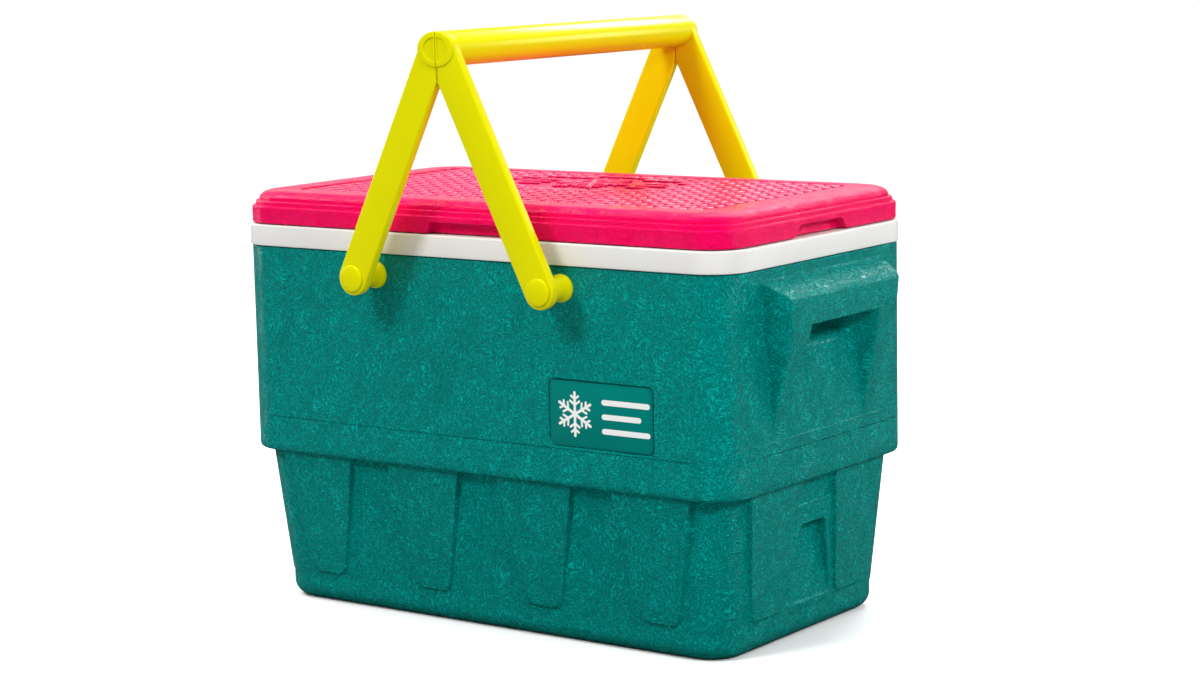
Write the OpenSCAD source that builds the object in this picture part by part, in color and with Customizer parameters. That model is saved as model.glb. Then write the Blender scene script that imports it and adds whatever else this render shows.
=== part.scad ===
// Insulated picnic chest with a lift-off lid and two swing-over bail handles.
// Frame: +X to the right along the long side, -Y the front, +Z up.
// The origin is the centre of the flat underside.

/* [Body] */
// Length of the rim band, end to end
band_l = 480; // [440:1:540]
// Depth of the rim band, front to back
band_w = 271; // [250:1:300]
// Plan radius of the rim band's corners
band_r = 31; // [24:1:40]
// Height of the band's lower edge above the ground
band_z = 295.4; // [285:0.1:310]
// Height of the band
band_h = 17; // [12:0.5:24]
// Height at which the upper wall steps in to the lower wall
step_z = 126.5; // [110:0.5:140]
// Height of the bottom edge of the raised lower panels
base_z = 25; // [20:0.5:30]
// Thickness of the outer wall
wall = 3; // [2.5:0.1:3.5]
// Depth of the panel relief at its top, where it is deepest
relief = 4.5; // [3:0.1:5]

/* [Cavity] */
// Length of the cavity at the rim
cavity_l = 428; // [400:1:436]
// Depth of the cavity at the rim, front to back
cavity_w = 219; // [200:1:227]
// Height of the cavity floor
cavity_z = 30; // [28:1:45]
// Thickness of the liner
liner_t = 2.5; // [2:0.1:3]

/* [Lid] */
// Height of the lid's skirt, from the rim to the shoulder
skirt_h = 14.6; // [12:0.1:16]
// Height of the deck above the ground
deck_z = 339; // [335:0.5:345]
// Width of the deck's smooth border at its ends
border_l = 34; // [20:1:50]
// Width of the deck's smooth border along its long sides
border_w = 24; // [15:1:40]
// Thickness of the lid's wall
lid_t = 2.6; // [2:0.1:3]
// Length of the finger notches in the long sides
notch_l = 82; // [60:1:90]
// Length of the finger notches in the short sides
notch_w = 76; // [50:1:80]
// How far the notches run into the lid
notch_d = 7; // [5:0.5:8]

/* [Handles] */
// Distance of each pivot from the middle of the long side
pivot_x = 91; // [85:1:95]
// Height of the pivots
pivot_z = 278.4; // [272:0.1:282]
// Height of the grip's centre with the handles up
grip_z = 457.4; // [450:0.1:465]
// Distance of the arms' outer faces from the middle of the chest
arm_y = 163.5; // [160:0.5:168]
// Thickness of an arm
arm_t = 8; // [7:0.5:9]
// Width of an arm
arm_w = 27; // [24:0.5:28]
// Width of the closed grip across both halves
grip_w = 35; // [32:0.5:38]
// Height of the closed grip
grip_h = 27; // [24:0.5:30]
// Diameter of the pivot pin's shank
pin_d = 10; // [8:0.5:11]
// Diameter of the pivot pin's head
head_d = 21.5; // [18:0.5:24]

/* [Details] */
// Width of the maker's plate recess
plate_w = 97; // [80:1:110]
// Height of the maker's plate recess
plate_h = 52; // [40:1:60]
// Half width of the end grip where it meets the wall at the top
hood_w = 90; // [80:1:92]
// How far the end grip stands out from the wall
hood_out = 21; // [18:0.5:22]

/* [Hidden] */

$fn = 64;
eps = 0.5;                          // overlap that makes a cut or a union clean
gap = 0.3;                          // air between pieces that move past each other
corner_steps = 8;                   // flats round each moulded corner

band_a = band_l / 2;
band_b = band_w / 2;
band_top = band_z + band_h;
upper_a = band_a - 1.2;             // half length of the upper wall
upper_b = band_b - 1.3;
upper_r = band_r - 1;
lower_a = band_a - 6;               // half length of the lower wall just under the step
lower_b = band_b - 5.8;
taper = 10.8;                       // how much the lower wall draws in towards the base
panel_top = step_z - 0.5;
panel_low = 1.8;                    // relief left at the bottom of the panels
base_r = 12;                        // radius of the bottom edge
neck = 3;                           // the shell's neck sits this far inside the band
floor_t = 3;
inner_low = 2.6;                    // wall left behind the deepest relief

lid_z = band_top + 0.4;
lid_a = band_a - 2;
lid_b = band_b - 2;
tier_in = 3.5;                      // the deck is set in by this much from the skirt
band_in = 1.7;                      // and the low band between skirt and deck by this much
tier_band = 4;                      // height of that band
field_d = 0.8;                      // the deck's middle field sits this far below its border
tier_z = lid_z + skirt_h;
deck_r = 5;                         // radius of the deck's edge
seat_z = band_top + gap;            // underside of the lid's liner on the rim
plug_z = band_top - 12;             // bottom of the lid's plug in the cavity
plug_a = cavity_l / 2 - 3;
plug_b = cavity_w / 2 - 3;

seat_y = band_b - 2.1;              // the flat that each boss stands on
pad_y = seat_y - 4.4;               // inner face of the wall's pad behind the flat
arm_in = arm_y - arm_t;             // inner face of the arms
arm_top_x = 2;                      // the arms' centre lines stop this far short of the middle
arm_top_z = grip_z + 2;
bore_d = pin_d + 0.16;              // the arm's bore turns on the pin
chamfer = 1.6;
washer_t = 1.6;

label_x = 124.4;
label_z = 182.9;
plate_t = 1.4;

hood_top = 285.6;                   // crease where the end grip leaves the wall
hood_brow = 274.4;                  // top front edge of the end grip
hood_lip = 250.5;                   // lower edge of the lip over the fingers
hood_low = 174;                     // where its legs run out into the wall
hood_foot = 74;                     // half width of the end grip at that height
hood_face = 80;                     // half width of its flat face
hood_r = 3;                         // radius of the brow
open_top = 49;                      // half width of its opening, outside, under the lip
open_low = 60;                      // and where the legs run out
hollow_x = upper_a - 13;            // back of the hollow behind the lip
hollow_w = 37;                      // half width of the hollow
hollow_low = 229;                   // where the hollow's floor leaves the wall
hollow_roll = 245;                  // where that floor reaches the back
hollow_top = 262;                   // roof of the hollow
tub_w = 42;                         // half width of the wall built round the hollow
tub_h = 45;                         // height of that wall
tub_z = hollow_low - 6;             // and where it starts

pocket_low = 27;                    // bottom and top of the tipping pockets
pocket_top = 89;
pocket_w0 = 32;                     // half width of a pocket at its bottom and its top
pocket_w1 = 17.5;
pocket_in = 12;                     // depth of a pocket at its top
pocket_tub_w = 30;                  // half width of the wall built round a pocket
pocket_tub_z = 40;
pocket_tub_h = 55;

end_foot = [39, 82];                // where the raised end panels start and stop, at their foot
end_head = [24.5, 98];              // and at their top

panel_pitch = 109.9;                // spacing of the recesses along the front
panel_head = 36.8;                  // half width of a raised panel at its top
panel_foot = 17.2;

// ---- shared shapes ----

// One level of a rounded rectangle: half length, half depth, corner radius, height.
function ring(s) = [for (c = [0:3], k = [0:corner_steps])
    let (t = 90 * (c + k / corner_steps),
         sx = (c == 0 || c == 3) ? 1 : -1,
         sy = c < 2 ? 1 : -1)
    [sx * (s[0] - s[2]) + s[2] * cos(t), sy * (s[1] - s[2]) + s[2] * sin(t), s[3]]];

// A closed solid through levels of equal point counts, from the bottom up.
module skin(levels) {
    n = len(levels[0]);
    m = len(levels);
    sides = [for (j = [0:m - 2], i = [0:n - 1], h = [0, 1])
        let (a = j * n + i, b = j * n + (i + 1) % n, c = a + n, d = b + n)
        h == 0 ? [a, c, d] : [a, d, b]];
    polyhedron([for (l = levels) each l],
        concat([[for (i = [0:n - 1]) i]], sides, [[for (i = [n - 1:-1:0]) (m - 1) * n + i]]), convexity = 6);
}

module block(levels) {
    skin([for (s = levels) ring(s)]);
}

// A prism between two outlines of equal point counts, in any direction.
module wedge(low, high) {
    skin([low, high]);
}

// Half sizes of the lower wall at height z, drawn in by d.
function low_a(z, d = 0) = lower_a - taper * (panel_top - z) / (panel_top - 22) - d;
function low_b(z, d = 0) = lower_b - taper * (panel_top - z) / (panel_top - 22) - d;

module both_ends() {
    children();
    mirror([1, 0, 0]) children();
}

module both_sides() {
    children();
    mirror([0, 1, 0]) children();
}

// A cylinder along the Y axis of a pivot, from y0 to y1 on the front.
module pivot_rod(d, y0, y1) {
    translate([0, -y0, 0]) rotate([90, 0, 0]) cylinder(d = d, h = y1 - y0);
}

module at_pivots() {
    both_ends() both_sides() translate([pivot_x, 0, pivot_z]) children();
}

// ---- outer shell ----

module shell_outside() {
    block([
        [low_a(base_r, panel_low) - base_r, low_b(base_r, panel_low) - base_r, 18, 0],
        for (k = [1:4]) let (t = 90 * k / 4, d = base_r * (1 - sin(t)) + panel_low)
            [low_a(22, d), low_b(22, d), 30 - base_r * (1 - sin(t)), base_r * (1 - cos(t))],
        [low_a(base_z, panel_low), low_b(base_z, panel_low), 30, base_z],
        [low_a(panel_top, relief), low_b(panel_top, relief), upper_r, panel_top],
        [upper_a - 3.5, upper_b - 3.5, upper_r, panel_top + 0.01],
        [upper_a - 1, upper_b - 1, upper_r, panel_top + 1.6],
        [upper_a, upper_b, upper_r, panel_top + 4.5],
        [upper_a, upper_b, upper_r, band_z - gap]]);
}

module shell_neck() {
    block([
        [band_a - neck, band_b - neck, band_r - neck, band_z - 5],
        [band_a - neck, band_b - neck, band_r - neck, band_top - liner_t - 0.6]]);
}

module shell_inside() {
    block([
        [low_a(22, 12), low_b(22, 12), 20, floor_t],
        [low_a(22, relief + inner_low), low_b(22, relief + inner_low), 26, floor_t + 9],
        [low_a(panel_top, relief + inner_low), low_b(panel_top, relief + inner_low), 26, panel_top - 2],
        [upper_a - neck - wall, upper_b - neck - wall, 26, panel_top + 8],
        [band_a - neck - wall, band_b - neck - wall, band_r - neck - wall, band_top + eps]]);
}

// A raised trapezoid on the long sides, centred on x.
module front_panel(x) {
    face = function(w, z, d) [[x - w, -low_b(z, d), z], [x + w, -low_b(z, d), z]];
    lo = face(panel_foot, base_z, 0);
    hi = face(panel_head, panel_top, 0);
    lo_in = face(panel_foot, base_z, relief + 1);
    hi_in = face(panel_head, panel_top, relief + 1);
    wedge([lo[0], lo[1], lo_in[1], lo_in[0]], [hi[0], hi[1], hi_in[1], hi_in[0]]);
}

// A raised trapezoid on the right-hand short side, towards the back.
module end_panel() {
    face = function(span, z) [
        [low_a(z, relief + 1), span[0], z], [low_a(z), span[0], z],
        [low_a(z), span[1], z], [low_a(z, relief + 1), span[1], z]];
    wedge(face(end_foot, base_z), face(end_head, panel_top));
}

// The end grip before its opening is cut: a brow that tapers down into two legs.
module hood_block() {
    x0 = upper_a - 1;
    x1 = upper_a + hood_out;
    hull() {
        translate([x0 - 1, -hood_w, hood_top]) cube([1, 2 * hood_w, 0.01]);
        translate([x0, -hood_foot, hood_low]) cube([0.6, 2 * hood_foot, 0.01]);
        translate([x1 - hood_r, -hood_face, hood_brow - hood_r]) rotate([-90, 0, 0])
            cylinder(r = hood_r, h = 2 * hood_face, $fn = 24);
        translate([x1 - hood_r - 0.4, 2 - hood_face, hood_lip]) cube([hood_r, 2 * hood_face - 4, 0.01]);
    }
}

// The opening behind the lip: a wedge of air that is deepest under the lip.
module hood_opening() {
    x0 = upper_a - 0.01;
    x1 = upper_a + hood_out + 5;
    wedge(
        [[x1, -open_low, hood_low - 2], [x1, open_low, hood_low - 2],
         [x0, open_low, hood_low - 2], [x0, -open_low, hood_low - 2]],
        [[x1, -open_top, hood_lip], [x1, open_top, hood_lip],
         [x0, hollow_w, hood_lip], [x0, -hollow_w, hood_lip]]);
    // the hollow's floor rolls in below the lip, and its top closes behind it
    hollow = function(back, front, w, z) [[front, -w, z], [front, w, z], [back, w - 2, z], [back, -w + 2, z]];
    wedge(hollow(x0 - 0.5, x0 + 1, hollow_w + 2, hollow_low), hollow(hollow_x, x0 + 1, hollow_w, hollow_roll));
    wedge(
        hollow(hollow_x, x0 + 11.5, hollow_w, hollow_roll - 0.01),
        hollow(hollow_x, x0 + 15, hollow_w - 2, hollow_top));
}

// The wall built round the hollow inside the shell, or, grown by d, the room it needs.
module hood_tub(d = 0) {
    translate([hollow_x - wall - d, -tub_w - d, tub_z - d]) cube([14 + 20 * d, 2 * (tub_w + d), tub_h + 2 * d]);
}

// The tipping pocket low in each short side.
module end_pocket() {
    face = function(w, z, depth) [
        [low_a(z) + 2, -w, z], [low_a(z) + 2, w, z], [low_a(z, depth), w - 2, z], [low_a(z, depth), 2 - w, z]];
    wedge(face(pocket_w0, pocket_low, panel_low + 0.6), face(pocket_w1, pocket_top, pocket_in));
}

// The wall built round a pocket inside the shell, or, grown by d, the room it needs.
module end_pocket_tub(d = 0) {
    translate([low_a(pocket_top, pocket_in + wall + 0.5 + d), -pocket_tub_w - d, pocket_tub_z - d])
        cube([12 + 20 * d, 2 * (pocket_tub_w + d), pocket_tub_h + 2 * d]);
}

module plate_outline(grow, y0, y1) {
    translate([label_x, -y0, label_z]) rotate([90, 0, 0]) linear_extrude(y1 - y0)
        offset(r = 6 + grow, $fn = 32) square([plate_w - 12, plate_h - 12], center = true);
}

module outer_shell() {
    color("teal") difference() {
        union() {
            difference() {
                union() {
                    shell_outside();
                    shell_neck();
                    for (x = [-1.5, -0.5, 0.5, 1.5]) both_sides() front_panel(x * panel_pitch);
                    both_ends() both_sides() end_panel();
                    both_ends() hood_block();
                }
                shell_inside();
            }
            both_ends() intersection() {
                union() {
                    hood_tub();
                    end_pocket_tub();
                }
                shell_outside();
            }
            at_pivots() pivot_rod(26, pad_y, seat_y - 1);
        }
        both_ends() hood_opening();
        both_ends() end_pocket();
        at_pivots() pivot_rod(head_d + 1.4, seat_y, band_b + 6);
        at_pivots() pivot_rod(pin_d + 0.1, pad_y - 2, band_b);
        plate_outline(0, upper_b - 2.2, band_b + 2);
    }
}

// ---- insulation ----

module insulation_foam() {
    color("lightyellow") difference() {
        block([
            [low_a(22, 13), low_b(22, 13), 19, floor_t + gap],
            [low_a(22, relief + inner_low + 1), low_b(22, relief + inner_low + 1), 25, floor_t + 9.5],
            [low_a(panel_top, relief + inner_low + 0.6), low_b(panel_top, relief + inner_low + 0.6), 25,
                panel_top - 2],
            [upper_a - neck - wall - 0.6, upper_b - neck - wall - 0.6, 25, panel_top + 9],
            [band_a - neck - wall - 0.6, band_b - neck - wall - 0.6, band_r - neck - wall,
                band_top - liner_t - 0.6]]);
        cavity_block(liner_t + gap, band_top + eps);
        both_ends() {
            hood_tub(gap);
            end_pocket_tub(gap);
        }
        at_pivots() pivot_rod(27, pad_y - 7, band_b);
    }
}

// ---- liner ----

// The cavity's own shape, grown by d, up to height z.
module cavity_block(d, z) {
    a = cavity_l / 2;
    b = cavity_w / 2;
    f = cavity_z;
    block([
        [a - 22 + d, b - 22.5 + d, 16 + d, f - d],
        [a - 17 + d, b - 17.5 + d, 19 + d, f - d + 2],
        [a - 14.5 + d, b - 15 + d, 21 + d, f - d + 7],
        [a - 13.8 + d, b - 14.3 + d, 22 + d, f - d + 13],
        [a + d, b + d, 24 + d, band_top],
        [a + d, b + d, 24 + d, z + d]]);
}

module cavity_liner() {
    color("whitesmoke") difference() {
        union() {
            intersection() {
                cavity_block(liner_t, band_top);
                translate([-band_a, -band_b, 0]) cube([2 * band_a, 2 * band_b, band_top]);
            }
            difference() {
                block([
                    [band_a - 0.8, band_b - 0.8, band_r - 0.8, band_z],
                    [band_a, band_b, band_r, band_z + 0.8],
                    [band_a, band_b, band_r, band_top - 1.2],
                    [band_a - 0.4, band_b - 0.4, band_r - 0.4, band_top - 0.4],
                    [band_a - 1.2, band_b - 1.2, band_r - 1.2, band_top]]);
                block([
                    [band_a - neck + gap, band_b - neck + gap, band_r - neck + gap, band_z - eps],
                    [band_a - neck + gap, band_b - neck + gap, band_r - neck + gap, band_top - liner_t - gap]]);
            }
        }
        cavity_block(0, band_top + 5);
    }
}

// ---- maker's plate ----

module maker_plate() {
    color("teal") plate_outline(-0.9, upper_b - 2.2, upper_b - 2.2 + plate_t);
}

// ---- lid ----

// The finger notches under the skirt, one in each side, grown by d.
module notches(d) {
    top = lid_z + 9 + d;
    low = lid_z - 1;
    x = notch_l / 2 + d;
    y = notch_w / 2 + d;
    front = -lid_b - 5;
    back = -lid_b + notch_d + d;
    both_sides() wedge(
        [[-x, front, low], [x, front, low], [x, back, low], [-x, back, low]],
        [[5 - x, front, top], [x - 5, front, top], [x - 5, back, top], [5 - x, back, top]]);
    near = lid_a - notch_d - d;
    far = lid_a + 5;
    both_ends() wedge(
        [[near, -y, low], [far, -y, low], [far, y, low], [near, y, low]],
        [[near, 8 - y, top], [far, 8 - y, top], [far, y - 8, top], [near, y - 8, top]]);
}

module lid_outside() {
    block([
        [lid_a - 0.8, lid_b - 0.8, 28, lid_z],
        [lid_a, lid_b, 29, lid_z + 0.8],
        [lid_a, lid_b, 29, tier_z - 2],
        [lid_a - 0.6, lid_b - 0.6, 29, tier_z - 0.6],
        [lid_a - band_in, lid_b - band_in, 30, tier_z],
        [lid_a - band_in, lid_b - band_in, 30, tier_z + tier_band - 1],
        [lid_a - tier_in + 0.6, lid_b - tier_in + 0.6, 31, tier_z + tier_band - 0.2],
        [lid_a - tier_in, lid_b - tier_in, 32, tier_z + tier_band],
        for (k = [0:4]) let (t = 90 * k / 4, d = tier_in + deck_r * (1 - cos(t)))
            [lid_a - d, lid_b - d, 32, deck_z - deck_r * (1 - sin(t))]]);
}

module lid_inside(d) {
    s = lid_t + d;
    block([
        [lid_a - s, lid_b - s, 27 - d, lid_z - 1 + (d > 0 ? 4.5 : 0)],
        [lid_a - s, lid_b - s, 27 - d, tier_z - lid_t - 0.5 - d],
        [lid_a - s - tier_in, lid_b - s - tier_in, 29 - d, tier_z - lid_t + 2 - d],
        [lid_a - s - tier_in, lid_b - s - tier_in, 29 - d, deck_z - lid_t - 2 - d],
        [lid_a - s - tier_in - 2, lid_b - s - tier_in - 2, 27 - d, deck_z - lid_t - d]]);
}

module lid_shell() {
    x = lid_a - tier_in - border_l;
    y = lid_b - tier_in - border_w;
    color("deeppink") difference() {
        lid_outside();
        difference() {
            lid_inside(0);
            notches(lid_t);
        }
        notches(0);
        // the field of the deck sits just below its border
        block([
            [x, y, 12, deck_z - field_d],
            [x + 1, y + 1, 13, deck_z + 1]]);
    }
}

module lid_plug(d) {
    block([
        [plug_a - 4 - d, plug_b - 4 - d, 17 - d, plug_z + d],
        [plug_a - 1 - d, plug_b - 1 - d, 20 - d, plug_z + d + 2.5],
        [plug_a - d, plug_b - d, 21 - d, seat_z + 4]]);
}

module lid_liner() {
    color("whitesmoke") difference() {
        union() {
            block([
                [lid_a - lid_t - gap, lid_b - lid_t - gap, 26, lid_z + 0.3],
                [lid_a - lid_t - gap, lid_b - lid_t - gap, 26, lid_z + 2.8]]);
            intersection() {
                lid_plug(0);
                translate([-band_a, -band_b, 0]) cube([2 * band_a, 2 * band_b, lid_z + 2.8]);
            }
        }
        lid_plug(liner_t);
        notches(lid_t + gap);
    }
}

module lid_foam() {
    color("lightyellow") difference() {
        union() {
            lid_inside(gap);
            intersection() {
                lid_plug(liner_t + gap);
                translate([-band_a, -band_b, 0]) cube([2 * band_a, 2 * band_b, lid_z + 6]);
            }
        }
        notches(lid_t + gap);
        // room for the deck's sunken field
        translate([-band_a, -band_b, deck_z - lid_t - field_d - gap]) cube([2 * band_a, 2 * band_b, 10]);
    }
}

// ---- handles ----

// The arm's outline in the pivot's plane: a straight bar from the pivot to the grip, drawn in by d.
module arm_outline(d) {
    run = [arm_top_x - pivot_x, arm_top_z - pivot_z];
    tilt = atan2(run[1], run[0]);
    translate([pivot_x, pivot_z]) {
        circle(d = arm_w - 2 * d);
        rotate(tilt) translate([0, -arm_w / 2 + d]) square([norm(run), arm_w - 2 * d]);
    }
}

module grip_outline(d) {
    translate([0, grip_z]) scale([(grip_w - 2 * d) / (grip_h - 2 * d), 1]) circle(d = grip_h - 2 * d);
}

// One side of the closed handle, as an outline in X and Z.
module own_half(d) {
    intersection() {
        children();
        translate([gap / 2 + d, 0]) square([400, 600]);
    }
}

module upright(y0, y1) {
    translate([0, -y0, 0]) rotate([90, 0, 0]) linear_extrude(y1 - y0) children();
}

module bail_arm() {
    difference() {
        union() {
            upright(arm_in, arm_y - chamfer / 2) own_half(0) arm_outline(0);
            upright(arm_in, arm_y) own_half(chamfer / 2) arm_outline(chamfer / 2);
            upright(arm_in - 2, arm_y + 1) own_half(0) grip_outline(0);
        }
        // the shallow hollow in the end of the grip
        upright(arm_y - 1, arm_y + 2) own_half(2.2) grip_outline(5.5);
        translate([pivot_x, 0, pivot_z]) pivot_rod(bore_d, arm_in - 1, arm_y + 1);
    }
}

module bail() {
    color("yellow") union() {
        both_sides() bail_arm();
        upright(-arm_in, arm_in) own_half(0) grip_outline(0);
    }
}

module right_bail() {
    bail();
}

module left_bail() {
    mirror([1, 0, 0]) bail();
}

// ---- pivots ----

// A turned shape on a pivot's axis, from an outline of [radius, distance from the chest's middle].
module turned(outline) {
    rotate([90, 0, 0]) rotate_extrude() polygon(outline);
}

module boss() {
    r0 = bore_d / 2;
    r1 = head_d / 2;
    color("yellow") turned([[r0, seat_y], [r1 - 0.6, seat_y], [r1, seat_y + 0.8], [r1, seat_y + 3.2],
        [r1 - 0.8, seat_y + 4.6], [r1 - 2, seat_y + 6.5], [r1 - 2.2, arm_in - gap], [r0, arm_in - gap]]);
}

module pin() {
    r = pin_d / 2;
    h = head_d / 2;
    tip = pad_y - washer_t - 1.6;
    color("yellow") turned([[0, tip], [r - 0.8, tip], [r, tip + 0.8], [r, arm_y + gap], [h, arm_y + gap],
        [h, arm_y + 0.9], [h - 0.9, arm_y + 1.5], [h - 4, arm_y + 2.1], [0, arm_y + 2.4]]);
}

module washer() {
    color("silver") turned([[pin_d / 2 + 0.03, pad_y - washer_t], [9, pad_y - washer_t],
        [9, pad_y], [pin_d / 2 + 0.03, pad_y]]);
}

// Puts a pivot piece on the left or right (sx) and front or back (sy).
module pivot_place(sx, sy) {
    translate([sx * pivot_x, 0, pivot_z]) rotate([0, 0, sy < 0 ? 0 : 180]) children();
}

outer_shell();
insulation_foam();
cavity_liner();
maker_plate();
lid_shell();
lid_foam();
lid_liner();
left_bail();
right_bail();
pivot_place(-1, -1) boss();  // boss_front_left
pivot_place(1, -1) boss();  // boss_front_right
pivot_place(-1, 1) boss();  // boss_back_left
pivot_place(1, 1) boss();  // boss_back_right
pivot_place(-1, -1) pin();  // pin_front_left
pivot_place(1, -1) pin();  // pin_front_right
pivot_place(-1, 1) pin();  // pin_back_left
pivot_place(1, 1) pin();  // pin_back_right
pivot_place(-1, -1) washer();  // washer_front_left
pivot_place(1, -1) washer();  // washer_front_right
pivot_place(-1, 1) washer();  // washer_back_left
pivot_place(1, 1) washer();  // washer_back_right
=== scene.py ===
import math

import bmesh
import bpy
import numpy as np
from mathutils import Matrix, Vector


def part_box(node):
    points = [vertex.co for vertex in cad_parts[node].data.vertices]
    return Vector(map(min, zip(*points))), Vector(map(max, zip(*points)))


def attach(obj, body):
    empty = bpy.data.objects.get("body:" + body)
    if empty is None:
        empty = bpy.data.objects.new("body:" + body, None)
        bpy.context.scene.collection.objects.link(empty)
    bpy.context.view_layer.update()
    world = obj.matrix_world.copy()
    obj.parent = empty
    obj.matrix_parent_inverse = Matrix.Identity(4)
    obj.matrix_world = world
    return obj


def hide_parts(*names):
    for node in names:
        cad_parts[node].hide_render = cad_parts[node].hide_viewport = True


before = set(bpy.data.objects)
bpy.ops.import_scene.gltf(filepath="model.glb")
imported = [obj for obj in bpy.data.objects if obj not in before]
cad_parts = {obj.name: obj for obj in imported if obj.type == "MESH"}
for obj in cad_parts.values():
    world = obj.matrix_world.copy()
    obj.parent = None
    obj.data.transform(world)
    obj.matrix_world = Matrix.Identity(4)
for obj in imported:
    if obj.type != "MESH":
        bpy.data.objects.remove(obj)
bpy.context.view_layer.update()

MM = 0.001


# ---------------------------------------------------------------- measures, in millimetres

def node_box(name):
    low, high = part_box(name)
    return np.array(low) / MM, np.array(high) / MM


RIM_HIGH = node_box("cavity_liner")[1]
LID_LOW, LID_HIGH = node_box("lid_shell")
BOSS_LOW, BOSS_HIGH = node_box("boss_front_right")
BAIL_HIGH = node_box("right_bail")[1]
PLATE_LOW, PLATE_HIGH = node_box("maker_plate")

BAND_A, BAND_B = RIM_HIGH[0], RIM_HIGH[1]       # half length and half depth of the rim band
BAND_TOP = RIM_HIGH[2]
BAND_Z = BAND_TOP - 17                          # the band's lower edge
BAND_R = 31
UPPER_A, UPPER_B = BAND_A - 1.2, BAND_B - 1.3   # the upper wall
UPPER_R = BAND_R - 1
LOWER_A, LOWER_B = BAND_A - 6, BAND_B - 5.8     # the lower wall's panels, at the step
LOWER_R = 30
TAPER = 10.8                                    # how far the lower wall draws in down to the foot
PANEL_TOP, PANEL_BASE, KINK = 126, 25, 22       # the step, the panels' foot and the foot's rounding
RELIEF, RELIEF_LOW = 4.5, 1.8                   # how far the panels stand out at the step and at the foot
BASE_R = 12
LID_A, LID_B = LID_HIGH[0], LID_HIGH[1]
LID_Z, DECK_Z = LID_LOW[2], LID_HIGH[2]
TIER_Z = LID_Z + 14.6                           # top of the lid's skirt, where the first tier starts
TIER_BAND, BAND_IN = 4, 1.7                     # the first tier's height and how far in it stands
TIER_IN = 3.5                                   # how far in the second tier stands
BORDER_L, BORDER_W, FIELD_D = 34, 24, 1.6       # the smooth border round the deck's sunken field
WALL = 3
PIVOT_X, PIVOT_Z = (BOSS_LOW[0] + BOSS_HIGH[0]) / 2, (BOSS_LOW[2] + BOSS_HIGH[2]) / 2
GRIP_W, GRIP_H = 35, 27
GRIP_Z = BAIL_HIGH[2] - GRIP_H / 2
ARM_Y, ARM_T, ARM_W = 163.5, 8, 27              # an arm's outer face, thickness and width
HEAD_R = 21.5 / 2                               # pin heads and bosses
SEAT_Y = BAND_B - 2.1                           # where the bosses stand on the wall
FLAT = 0.999                                    # a normal this near an axis belongs to a flat wall


# ---------------------------------------------------------------- small tools

def smooth(low, high, v):
    """0 below low, 1 above high, an S curve between."""
    t = np.clip((np.asarray(v, float) - low) / (high - low), 0, 1)
    return t * t * (3 - 2 * t)


def soft_min(a, b, k):
    """The smaller of two heights, blended over k where they cross."""
    h = np.clip(0.5 + 0.5 * (b - a) / k, 0, 1)
    return b * (1 - h) + a * h - k * h * (1 - h)


def soft_max(a, b, k):
    return -soft_min(-a, -b, k)


def lerp(a, b, t):
    return a + (b - a) * t


def edge_turn(angles):
    """The two offsets of a rounded edge of radius 1 at each angle, 0 to 90 degrees."""
    return [(1 - math.sin(t), 1 - math.cos(t)) for t in np.radians(angles)]


def mesh_object(name, verts, faces, smooth_angle=None):
    mesh = bpy.data.meshes.new(name)
    mesh.from_pydata([tuple(v) for v in np.asarray(verts) * MM], [], faces)
    mesh.validate()
    mesh.shade_smooth()
    if smooth_angle:
        mesh.set_sharp_from_angle(angle=math.radians(smooth_angle))
    obj = bpy.data.objects.new(name, mesh)
    bpy.context.scene.collection.objects.link(obj)
    return obj


def loft(name, rings, smooth_angle=None):
    """A closed solid through rings of equal point counts, first and last capped."""
    n = len(rings[0])
    verts = np.concatenate(rings)
    faces = [tuple(range(n - 1, -1, -1))]
    for j in range(len(rings) - 1):
        for i in range(n):
            k = (i + 1) % n
            faces.append((j * n + i, j * n + k, (j + 1) * n + k, (j + 1) * n + i))
    last = (len(rings) - 1) * n
    faces.append(tuple(range(last, last + n)))
    return mesh_object(name, verts, faces, smooth_angle)


def ride(obj, body, material, replaced=()):
    obj.data.materials.clear()
    obj.data.materials.append(material)
    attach(obj, body)
    if replaced:
        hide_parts(*replaced)
    return obj


# ---------------------------------------------------------------- rounded-rectangle rings

EDGE_CLUSTER = (0.0, 0.5, 1.1, 2.0)
CORNER_STEPS = 14


def spread(keys, counts):
    """Positions from the first key to the last, close together at each key between them."""
    out = [keys[0]]
    for a, b, n in zip(keys, keys[1:], counts):
        squeeze = min(1.0, (b - a) / (2 * EDGE_CLUSTER[-1] + 1))
        near = [c * squeeze for c in EDGE_CLUSTER[1:]]
        start, stop = a + near[-1], b - near[-1]
        out += [a + c for c in near]
        out += [lerp(start, stop, (i + 1) / (n + 1)) for i in range(n)]
        out += [b - c for c in reversed(near)]
        out.append(b)
    return np.array(out)


def keyed(half, keys, counts):
    """A symmetric row of positions from -half to half, with keys given for the positive side."""
    full = [-half] + [-k for k in reversed(keys)] + keys + [half]
    return spread(full, list(reversed(counts[1:])) + [counts[0]] + counts[1:])


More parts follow.
